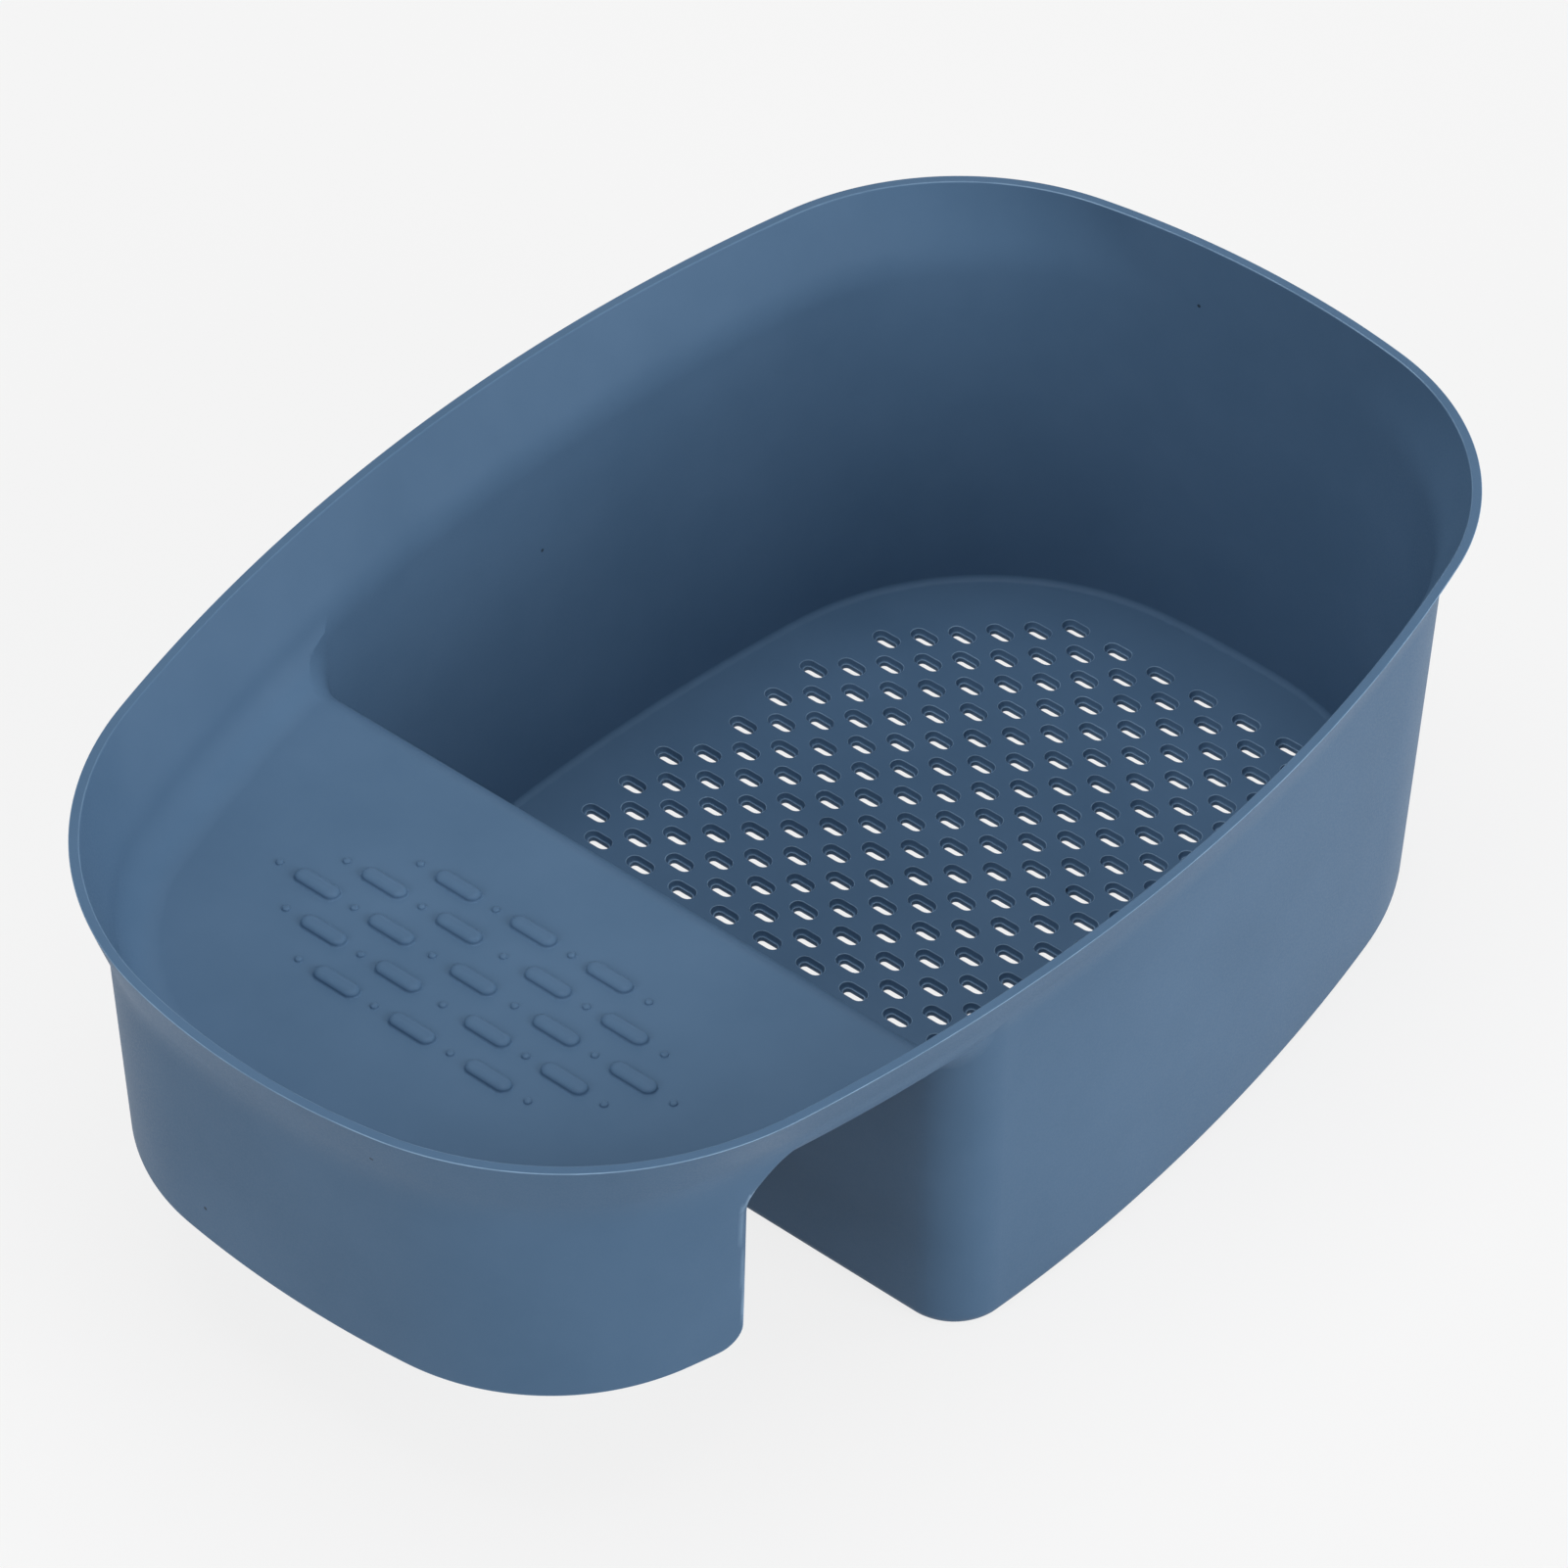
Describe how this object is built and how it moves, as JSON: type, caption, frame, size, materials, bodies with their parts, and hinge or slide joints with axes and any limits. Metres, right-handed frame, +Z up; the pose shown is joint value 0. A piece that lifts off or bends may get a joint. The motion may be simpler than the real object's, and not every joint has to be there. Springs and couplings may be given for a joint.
{
  "type": "sink drain basket",
  "caption": "Deep strainer basin with a raised drip tray beside it, joined over a saddle gap that straddles the divider between two sink bowls, with a flared rim all round.",
  "frame": {"origin": "centre of the overall box in plan, on the plane of the basin floor's underside", "axes": "+Z up; X along the length, -X to the drip tray's end and +X to the basin's far end; Y across"},
  "size_m": [0.2634, 0.17, 0.0906],
  "materials": {
    "blue_polypropylene": "satin moulded, slate blue"
  },
  "bodies": {
    "root": {"strainer_floor": "blue_polypropylene", "basin_wall": "blue_polypropylene", "saddle_wall": "blue_polypropylene", "bridge_deck": "blue_polypropylene", "shelf_deck": "blue_polypropylene", "shelf_skirt": "blue_polypropylene", "tray_rim": "blue_polypropylene", "basin_rim": "blue_polypropylene"}
  },
  "joints": []
}
